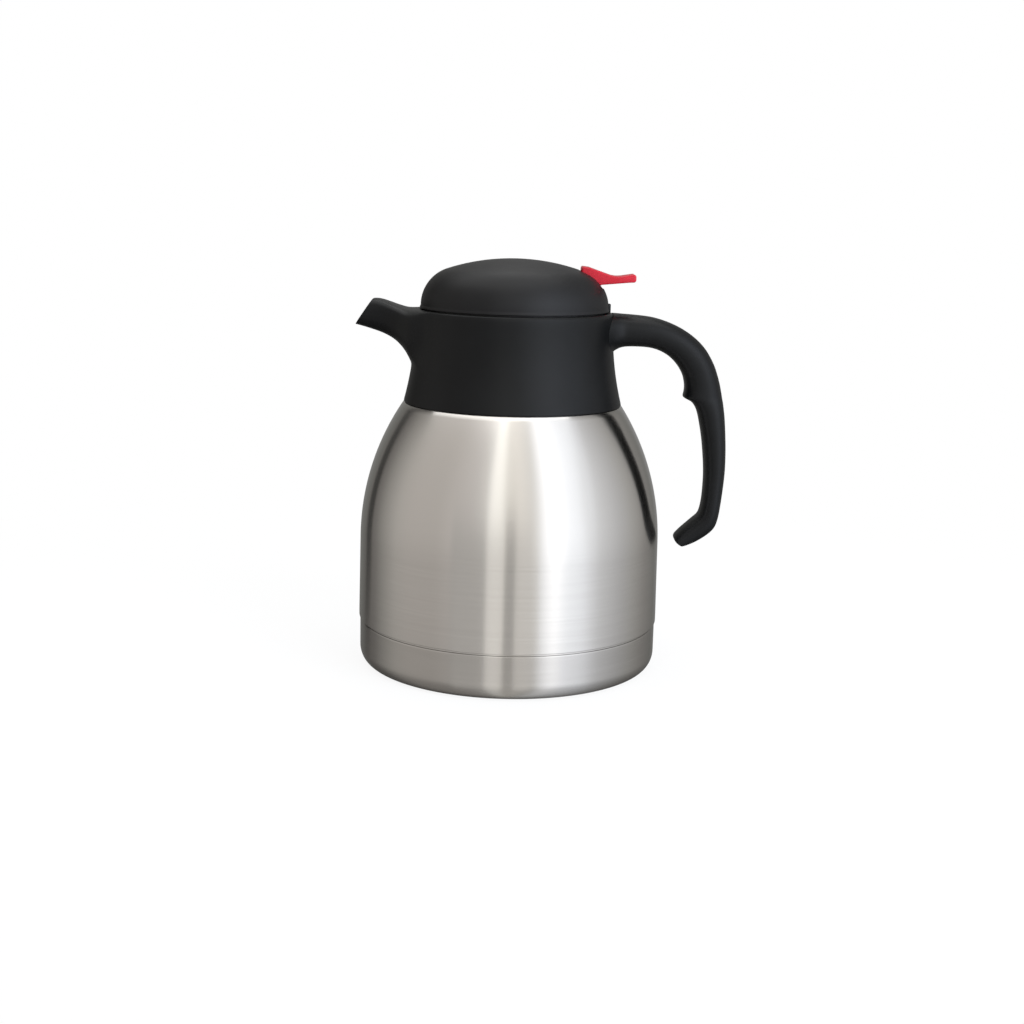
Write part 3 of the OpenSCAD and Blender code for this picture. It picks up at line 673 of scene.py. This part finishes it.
def makeBodyShell():
    b = bodyShell
    edge, foot, low, lip = b["radius"], b["collarFoot"], b["grooveHeight"], b["lipRound"]
    path = [(edge + out, low + up) for out, up in b["rolledEdge"]]
    path += [(between(edge, b["sideRadius"], t), between(path[-1][1], b["shoulderFrom"], t))
             for t in (0.25, 0.5, 0.75)]
    path += shoulderPoints(b["shoulderFrom"], foot - 0.5, 36)
    path += [(r, foot + up) for r, up in b["neckSteps"]]
    path += arcPoints((b["neckRadius"] - lip, b["neckTop"] - lip), lip, 0, 90, 4)
    path.append((b["mouthRadius"], b["neckTop"]))
    shell = turned("steelBody", sheetOutline(path, b["sheet"]), finishes["brushedStainlessSteel"], 256)
    dress(smoothShade(shell), "steel", "jug", "outer_shell")


# The base pan, pressed into the body: the dark groove stays between their edges

basePan = {
    "radius": 72.0,
    "footRound": 5,
    "footRise": 1.45,  # the rounding is this much taller than it is wide
    "recessHeight": 3,
    "recessRadius": 58,
    "recessRound": (1.2, 0.6),  # how far in, and at what share of the recess's height
    "floorRadii": (0, 20, 40, 55.6),
    "top": 21,
    "rolledEdge": [(0, -0.6), (0, -0.3), (-0.12, 0.1)],  # out from the side, up from the top
    "lap": [(71.6, 0.3), (71.5, 0.6), (71.5, 6)],  # inside the body: radius, up from the top
}


def makeBasePan():
    b = basePan
    edge, foot, top, recess = b["radius"], b["footRound"], b["top"], b["recessHeight"]
    roundIn, roundUp = b["recessRound"]
    path = [(r, recess) for r in b["floorRadii"]]
    path += [(b["recessRadius"] - roundIn, recess * roundUp), (b["recessRadius"], 0)]
    path += [(r, z * b["footRise"]) for r, z in arcPoints((edge - foot, foot), foot, -90, 0, 18)]
    path.append((edge, foot * b["footRise"] + 1))
    path += [(edge + out, top + up) for out, up in b["rolledEdge"]]
    path += [(r, top + up) for r, up in b["lap"]]
    pan = turned("steelBase", sheetOutline(path, bodyShell["sheet"]), finishes["brushedBaseSteel"], 256)
    dress(smoothShade(pan), "steel", "jug", "base_pan")


makeBodyShell()
makeBasePan()
print("stage: steel body and base")

# The collar with its spout: one black moulding round the neck. A coarse cage of rows and
# columns has a window cut into it where the spout's rings grow out, and is then subdivided

collar = {
    "radius": 47,
    "footRadius": 52,
    "foot": 126.4,
    "rim": 170,
    "flareTop": 161.4,
    "flarePower": 1.9,
    "outlineStep": 3.5,
    "rimRound": 1.2,
    "rimRows": [(-0.3, -0.5), (-1.1, 0), (-3, 0)],  # out from the radius, up from the rim
    "coreRadius": 36,
    "coreRound": 2,
    "footInner": 50,
    "columns": 48,
    "windowColumns": 4,  # on each side of the spout's middle
    "windowLow": 143.5,
    "rows": [126.75, 128.2, 131, 135, 139.5, 143.5, 149, 154.5, 160, 164.8, 168],
    # distance beyond the collar, underside and top over the rim, half width
    "spoutStations": [(1.6, -24.4, -0.1, 20.2), (4, -20, 0, 17.4), (6.6, -17.1, 0.8, 15),
                      (9, -14.9, 1.6, 13.1), (13, -12.6, 3.1, 11.1), (17, -11.1, 4.3, 9.9),
                      (20, -10.2, 4.2, 9.4), (23, -9.3, 3.5, 9), (28, -8, 2.8, 8.7),
                      (32, -7.2, 2.4, 8.6)],
    "channelStations": [(-7, -22.6, -12.4, 13), (-1, -21.8, -12.4, 13), (4, -17.4, -7, 13),
                        (8, -13.2, -1.2, 11), (13, -10.2, 1, 9), (18, -8.6, 2.3, 7.7),
                        (23, -7.1, 2.4, 7), (34, -4.4, 1.2, 6.6)],
    "squareness": 2.4,
    "squareTop": (4.6, 4),  # the spout's upper side is flatter, most so at its root
    "squareReach": 16,
    "reach": 75,
    "lipDrop": 8,
    "lipLean": 34,
    "mouthBlock": ((-80, -30, -40), (0, 30, 80)),  # cuts the mouth: its corners, before it leans
    "bore": 44.2,
    "ledge": (38, 158, 160),  # radius, underside, top
    "web": (40.2, 135, 138),
    "footHollow": (47.6, 49.4),
    "threadCrest": 42.3,
    "threadHeight": 165.3,
    "threadLead": 24,
    "threadStarts": 3,
    "ridgeHeight": 2,
    "ridgeFrom": 20,
    "ridgeArc": 45,
    "ridgeSteps": 24,
    # share of the ridge's depth and of half its height
    "ridgeSection": [(0, -1), (0.8, -0.75), (1, -0.45), (1, 0.45), (0.8, 0.75), (0, 1)],
    "screwDrop": 7,
    "screwSpread": 6,
    "screwHead": (2.9, 45.4),  # radius of the sunk seat, and how far out it goes
}


def collarOutside(z):
    c = collar
    share = max(0, (c["flareTop"] - z) / (c["flareTop"] - c["foot"]))
    return c["radius"] + (c["footRadius"] - c["radius"]) * share ** c["flarePower"]


def collarOutline():
    c = collar
    outline = [(collarOutside(z), z) for z in [c["foot"] + i * c["outlineStep"] for i in range(11)]]
    return outline + arcPoints((c["radius"] - c["rimRound"], c["rim"] - c["rimRound"]),
                               c["rimRound"], 0, 90, 4)


def spoutRing(station, turns, swell=1.0):
    c = collar
    away, low, high, half = station
    top = between(*c["squareTop"], max(0, min(1, away / c["squareReach"])))
    return [(-c["radius"] - away, -across * swell, c["rim"] + (low + high) / 2 + rise * swell)
            for across, rise in pillow(half, (high - low) / 2, turns, c["squareness"], top)]


def makeCollarCage():
    c = collar
    columns, side = c["columns"], c["windowColumns"]
    rim, core, foot, soft = c["rim"], c["coreRadius"], c["foot"], c["coreRound"]
    shrink = (2 + cos(2 * pi / columns)) / 3  # how far subdivision draws a circle of points in
    profile = [(c["footRadius"] - 0.25, foot)] + [(collarOutside(z), z) for z in c["rows"]]
    profile += [(c["radius"] + out, rim + up) for out, up in c["rimRows"]]
    profile += [(core + soft, rim), (core, rim - soft), (core, foot + soft), (core + soft, foot),
                (c["footInner"], foot)]
    windowLow = 1 + c["rows"].index(c["windowLow"])
    windowHigh = 1 + len(c["rows"]) + 1
    rows = len(profile)
    points = []
    for column in range(columns):
        angle = pi + 2 * pi * (column - side) / columns
        points += [(r / shrink * cos(angle), r / shrink * sin(angle), z) for r, z in profile]
    faces = []
    for column in range(columns):
        for row in range(rows):
            if column < 2 * side and windowLow <= row < windowHigh:
                continue
            a, b = column * rows, (column + 1) % columns * rows
            faces.append((a + row, b + row, b + (row + 1) % rows, a + (row + 1) % rows))
    across, up = 2 * side, windowHigh - windowLow
    edge = [(column, windowLow) for column in range(across)]
    edge += [(across, windowLow + k) for k in range(up)]
    edge += [(across - k, windowHigh) for k in range(across)]
    edge += [(0, windowHigh - k) for k in range(up)]
    turns = []
    for start, count in ((225, across), (315, up), (45, across), (135, up)):
        turns += [start + 90 * k / count for k in range(count)]
    ring = [column * rows + row for column, row in edge]
    swell = 3 / (2 + cos(2 * pi / len(turns)))
    for station in c["spoutStations"]:
        first = len(points)
        points += spoutRing(station, turns, swell)
        nextRing = list(range(first, first + len(turns)))
        faces += [(ring[k], ring[(k + 1) % len(ring)], nextRing[(k + 1) % len(ring)], nextRing[k])
                  for k in range(len(ring))]
        ring = nextRing
    faces.append(tuple(ring))
    cage = meshObject("pouringCollar", points, faces, finishes["satinBlackPolypropylene"])
    return subdivided(faceOut(cage), 3)


def makeThreads(name, root, crest, height, material):
    # one start as a ridge that climbs and tapers at both ends, then one for each start
    c = collar
    half = c["ridgeHeight"] / 2
    rings = []
    for i in range(c["ridgeSteps"] + 1):
        share = i / c["ridgeSteps"]
        angle = radians(c["ridgeFrom"] + share * c["ridgeArc"])
        z = height + c["threadLead"] * share * c["ridgeArc"] / 360
        full = min(1, 0.25 + 6 * min(share, 1 - share))
        tip = root + (crest - root) * full
        section = [(between(root, tip, deep), z + half * up) for deep, up in c["ridgeSection"]]
        rings.append([(r * cos(angle), r * sin(angle), h) for r, h in section])
    ridge = loft(name, rings)
    runTree(ridge, repeatTree, {"Count": c["threadStarts"], "Finish": material})
    return faceOut(ridge)


def bar(name, start, end, radius, steps, material):
    # round bar between two points, with a small chamfer at each end
    start, end = Vector(start), Vector(end)
    along = (end - start).normalized()
    side = along.orthogonal().normalized()
    other = along.cross(side)
    chamfer = min(0.25, radius / 4)
    angles = [2 * pi * k / steps for k in range(steps)]
    rings = []
    for place, r in ((start, radius - chamfer), (start + along * chamfer, radius),
                     (end - along * chamfer, radius), (end, radius - chamfer)):
        rings.append([tuple(place + r * (cos(a) * side + sin(a) * other)) for a in angles])
    return loft(name, rings, material)


def makeMouthBlock():
    # what lies beyond the slanted plane of the spout's mouth
    c = collar
    lean = Matrix.Rotation(radians(c["lipLean"]), 4, "Y")
    place = Matrix.Translation((-c["reach"], 0, c["rim"] - c["lipDrop"])) @ lean
    corners = [tuple(place @ Vector(p)) for p in boxCorners(*c["mouthBlock"])]
    return faceOut(meshObject("mouthBlock", corners, boxFaces))


def makeCollar():
    c = collar
    black = finishes["satinBlackPolypropylene"]
    bore, rim = c["bore"], c["rim"]
    ledge, ledgeLow, ledgeTop = c["ledge"]
    web, webLow, webTop = c["web"]
    inner, outer = c["footHollow"]
    # down the inside: bore with the ledge for the lid, web on the steel neck, hollow foot
    hollow = [(0, rim + 5), (bore + 0.5, rim + 5), (bore + 0.5, rim - 0.1), (bore, rim - 0.6),
              (bore, ledgeTop), (ledge + 0.3, ledgeTop), (ledge, ledgeTop - 0.3), (ledge, ledgeLow),
              (bore, ledgeLow), (bore, webTop), (web, webTop), (web, webLow), (inner, webLow),
              (inner, webLow - 4), (outer, c["foot"] + 1), (outer, c["foot"] - 5), (0, c["foot"] - 5)]
    turns = [360 * (k + 0.5) / 40 for k in range(40)]
    rings = [spoutRing(station, turns) for station in smoothRows(c["channelStations"], 4)]
    channel = loft("channel", rings, black)
    threads = makeThreads("collarThreads", bore + 0.4, c["threadCrest"], c["threadHeight"], black)
    seat, seatEnd = c["screwHead"]
    z = rim - c["screwDrop"]
    seats = [bar("seat", (bore - 1, y, z), (seatEnd, y, z), seat, 32, black)
             for y in (-c["screwSpread"], c["screwSpread"])]
    piece = combine(makeCollarCage(), ("DIFFERENCE", turned("hollow", hollow, black)),
                    ("DIFFERENCE", makeMouthBlock()), ("DIFFERENCE", channel), ("UNION", threads),
                    *(("DIFFERENCE", s) for s in seats))
    dress(smoothShade(piece, 35), "black_moulding", "jug", "collar")


# The hooked handle, screwed to the collar from inside

handle = {
    # outer and inner line, each as distance beyond the collar and drop below the rim
    "stations": [(-4, 0.1, -4, 26), (-1, 0.1, -1, 19.4), (1.8, 0.2, 1.8, 17), (5, 0.4, 5, 15.8),
                 (10, 0.7, 10, 15.5), (19, 1.7, 17, 15.8), (28.5, 4.7, 22.5, 17.3),
                 (37, 9.4, 27.3, 20.1), (43.7, 15.5, 31.1, 24), (48.3, 23, 33.6, 28.1),
                 (50.4, 28.5, 34.6, 31.4), (51.6, 32.4, 35, 34.4), (52.3, 35.4, 34.8, 36.9),
                 (52.8, 37.6, 34.5, 38.9), (53.1, 39.2, 36, 39.9), (53.6, 41.4, 38.3, 41.1),
                 (54.1, 44.4, 40.3, 43.4), (54.7, 48.4, 42, 47.4), (55.5, 57, 44.1, 57),
                 (56, 65.3, 45.3, 65.5), (56.1, 74, 46.1, 74), (55.7, 81, 46.2, 82),
                 (55, 88.8, 45.7, 90), (54, 96.8, 44.4, 95.6), (52.2, 102.3, 41.9, 98.1),
                 (48, 106.3, 38.6, 101.1), (43, 109.4, 35.4, 104.2), (38.5, 111.2, 33.1, 107.2),
                 (36.6, 111.3, 33.6, 109.4)],
    "halfWidth": 11,
    "tipHalfWidth": 8.8,
    "endShare": 0.75,  # the last ring is this much of the tip's width
    "drop": 111.5,
    "rootFlare": 2.5,
    "rootFlareReach": 6,
    "rootGap": 0.05,  # from the collar, which the root is cut to fit
    "rootDepth": 8,
    "squareness": 2.6,
    "sides": 28,
}


def makeHandle():
    h, c = handle, collar
    turns = [360 * (k + 0.5) / h["sides"] for k in range(h["sides"])]
    swell = 3 / (2 + cos(2 * pi / h["sides"]))
    rings = []
    rows = smoothRows(h["stations"], 3)
    for i, row in enumerate(rows):
        outer = Vector((c["radius"] + row[0], c["rim"] - row[1]))
        inner = Vector((c["radius"] + row[2], c["rim"] - row[3]))
        middle, up = (outer + inner) / 2, (outer - inner).normalized()
        width = between(h["halfWidth"], h["tipHalfWidth"], row[1] / h["drop"])
        width += h["rootFlare"] * max(0, 1 - row[0] / h["rootFlareReach"]) ** 2
        if i == len(rows) - 1:
            width *= h["endShare"]
        section = pillow(width * swell, (outer - inner).length / 2 * swell, turns, h["squareness"])
        rings.append([(middle.x + up.x * b, -a, middle.y + up.y * b) for a, b in section])
    grip = subdivided(loft("hookedHandle", rings, finishes["satinBlackPolypropylene"]), 2)
    outline = [(r + h["rootGap"], z) for r, z in collarOutline()]
    outline += [(c["radius"] - h["rootDepth"], c["rim"] + 1), (c["radius"] - h["rootDepth"], c["foot"])]
    combine(grip, ("DIFFERENCE", turned("collarSpace", outline, None)))
    dress(smoothShade(grip, 40), "black_moulding", "jug", "handle")


# The lid's dome, with the slot for the lever and the mark that lines up with the handle

dome = {
    "sideRadius": 44.4,
    "low": 170.5,
    "height": 23.8,
    "crownRadius": 100,
    "sideRound": 18,
    "wall": 2.2,
    # out from the side and up from the lower edge: a small lip above the collar
    "brim": [(0.15, 0), (0.4, 0.25), (0.4, 0.6), (0.12, 1.2), (0, 1.6)],
    "slotFrom": 29.8,
    "slotHalfWidth": 7.5,
    "slotLow": 181.1,
    "slotBeyond": (60, 200),  # out and up, clear of the dome
    "slotRound": 0.8,
    "markHalfWidth": 2,
    "markFrom": 43.2,
    "markHigh": 174.2,
    "markLow": 170.2,
    "markReach": 45.4,
    "markRound": 0.5,
}


def domeSkin(inset, steps):
    # the round side and the flatter crown, up to the middle, at a distance inside the outer skin
    d = dome
    crown = d["low"] + d["height"] - d["crownRadius"]
    side = d["sideRadius"] - d["sideRound"]
    gap = d["crownRadius"] - d["sideRound"]
    sideCentre = (side, crown + sqrt(gap ** 2 - side ** 2))
    lean = degrees(asin(side / gap))
    skin = arcPoints(sideCentre, d["sideRound"] - inset, 1, 90 - lean, 2 * steps)
    radius = d["crownRadius"] - inset
    for i in range(1, steps + 1):
        angle = radians(lean * (1 - i / steps))
        skin.append((radius * sin(angle), crown + radius * cos(angle)))
    return skin


def domeOutline():
    d = dome
    outside = [(d["sideRadius"] + out, d["low"] + up) for out, up in d["brim"]] + domeSkin(0, 14)
    inside = [(d["sideRadius"] - d["wall"], d["low"])] + domeSkin(d["wall"], 7)
    return outside + inside[::-1]


def makeDome():
    d = dome
    # the lid's finish has painted light: a greyer base colour for its sky-facing top
    black = finishes["lidBlackPolypropylene"]
    half, markHalf = d["slotHalfWidth"], d["markHalfWidth"]
    out, up = d["slotBeyond"]
    slot = roundedBox("slot", (d["slotFrom"], -half, d["slotLow"]), (out, half, up),
                      d["slotRound"], black)
    mark = roundedBox("mark", (d["markFrom"], -markHalf, d["markLow"]),
                      (d["markReach"], markHalf, d["markHigh"]), d["markRound"], black)
    shell = turned("lidDome", domeOutline(), black, 256)
    combine(shell, ("UNION", mark), ("DIFFERENCE", slot))
    dress(smoothShade(shell, 30), "lid_moulding", "lid", "lid_dome")


# The thumb lever: nose, dip and pad in one paddle, with a hub on the pin and a fork to the stem

lever = {
    "pin": (34, 179),
    "halfWidth": 7,
    "rounding": 0.75,
    # from the pin, in x and z
    "underside": [(3.2, 0), (3.2, 1.5), (4.4, 3), (6.5, 4.2), (10.5, 4.6), (15.5, 5.1), (19.5, 5.5)],
    "padCorners": [((21.4, 6.8), 1.2, -80, 0), ((21.5, 8.15), 1.1, 0, 95)],
    "top": [(18.4, 8.75), (15.6, 8.3), (13.3, 8.2), (11.2, 8.5), (5.6, 10.35), (0.5, 12.1)],
    "nose": (-2.2, 11.5),
    "noseRound": 0.9,
    "back": [(-3.2, 6), (-3.2, 0)],
    "hubRadius": 3.2,
    "holeRadius": 1.32,
    "armReach": 34,
    "armY": (3.6, 6.4),
    "armHalfHeight": 1.6,
    "fingerRadius": 2,
}


def insetLoop(points, distance):
    # a closed anticlockwise outline drawn in by a distance
    count = len(points)
    result = []
    for i, p in enumerate(points):
        a = (Vector(p) - Vector(points[i - 1])).normalized()
        b = (Vector(points[(i + 1) % count]) - Vector(p)).normalized()
        t = (a + b).normalized()
        result.append(Vector(p) + distance * Vector((-t.y, t.x)) / max(0.5, t.dot(a)))
    return result


def makeLever():
    v = lever
    pinX, pinZ = v["pin"]
    half, soft = v["halfWidth"], v["rounding"]
    red = finishes["glossyRedAbs"]
    outline = list(v["underside"])
    for centre, radius, start, stop in v["padCorners"]:
        outline += arcPoints(centre, radius, start, stop, 6)
    outline += v["top"]
    outline += arcPoints(v["nose"], v["noseRound"], 75, 180, 6) + v["back"]
    outline = [(x + pinX, z + pinZ) for x, z in outline]
    slices = [(half - soft * (1 - sin(radians(t))), soft * (1 - cos(radians(t))))
              for t in (90, 67, 45, 22, 0)]
    slices += [(-y, inset) for y, inset in slices[::-1]]
    paddle = loft("thumbLever", [[(p.x, y, p.y) for p in insetLoop(outline, inset)]
                                 for y, inset in slices], red)
    added = [bar("hub", (pinX, -half, pinZ), (pinX, half, pinZ), v["hubRadius"], 48, red)]
    for sign in (-1, 1):
        near, far = sorted(sign * y for y in v["armY"])
        added.append(roundedBox("arm", (pinX - v["armReach"], near, pinZ - v["armHalfHeight"]),
                                (pinX - 1, far, pinZ + v["armHalfHeight"]), 0.5, red))
        added.append(bar("finger", (pinX - v["armReach"], near, pinZ),
                         (pinX - v["armReach"], far, pinZ), v["fingerRadius"], 40, red))
    hole = bar("hole", (pinX, -half - 2, pinZ), (pinX, half + 2, pinZ), v["holeRadius"], 40, red)
    combine(paddle, *(("UNION", a) for a in added), ("DIFFERENCE", hole))
    dress(smoothShade(paddle, 35), "red_moulding", "lever", "thumb_lever")


# The valve's return spring, between the disc and the stopper's bridge

spring = {
    "turns": 7,
    "radius": 8,
    "wire": 1.2,
    "wireSides": 14,
    "steps": 40,  # points along each turn
}


def makeSpringTree():
    # a round wire coiled upwards about the z axis
    numbers = {name: "Float" for name in ("Turns", "Coil Radius", "Height", "Foot", "Wire Radius")}
    tree, given = newShapeTree("coiledWire", {"Wire": "Geometry", "Steps": "Int", **numbers})
    radius = given["Coil Radius"]
    coil = addNode(tree, "GeometryNodeCurveSpiral", {
        "Resolution": given["Steps"], "Rotations": given["Turns"], "Start Radius": radius,
        "End Radius": radius, "Height": given["Height"]})
    foot = addNode(tree, "ShaderNodeCombineXYZ", {"Z": given["Foot"]})
    lifted = addNode(tree, "GeometryNodeSetPosition", {"Geometry": coil.outputs[0],
                                                       "Offset": foot.outputs[0]})
    section = addNode(tree, "GeometryNodeCurvePrimitiveCircle", {"Resolution": spring["wireSides"],
                                                                 "Radius": given["Wire Radius"]})
    wire = addNode(tree, "GeometryNodeCurveToMesh", {
        "Curve": lifted.outputs[0], "Profile Curve": section.outputs[0], "Fill Caps": True})
    return endShapeTree(tree, wire, given)


def makeSpring():
    s = spring
    low, high = (corner[2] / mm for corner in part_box("valve_spring"))
    foot, head = low + s["wire"] / 2, high - s["wire"] / 2
    coil = meshObject("valveSpring", [], [])
    runTree(coil, makeSpringTree(), {
        "Turns": float(s["turns"]), "Steps": s["turns"] * s["steps"], "Coil Radius": s["radius"] * mm,
        "Height": (head - foot) * mm, "Foot": foot * mm, "Wire Radius": s["wire"] / 2 * mm,
        "Finish": finishes["drawnSteelWire"]})
    smoothShade(faceOut(coil), 40)
    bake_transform(coil)
    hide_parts("valve_spring")


makeCollar()
makeHandle()
makeDome()
makeLever()
makeSpring()
print("stage: collar, handle, dome, lever and spring")

# Pieces that keep the drawing's own solids, each in its finish

carried = {
    "innerBlackPolypropylene": ["base_cap", "mouth_ring", "stopper_body", "valve_stem", "valve_disc"],
    "satinStainlessSteel": ["vacuum_plug", "inner_flask", "flask_neck", "seal_retainer"],
    "sinteredGetterAlloy": ["getter"],
    "greySilicone": ["neck_gasket", "lid_seal", "mouth_seal", "stem_seal", "valve_seal"],
    "drawnSteelWire": ["handle_screws", "lever_pin", "retainer_screw"],
}
for finishName, nodeNames in carried.items():
    for nodeName in nodeNames:
        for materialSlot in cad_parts[nodeName].material_slots:
            materialSlot.material = finishes[finishName]
print("stage: inner pieces")
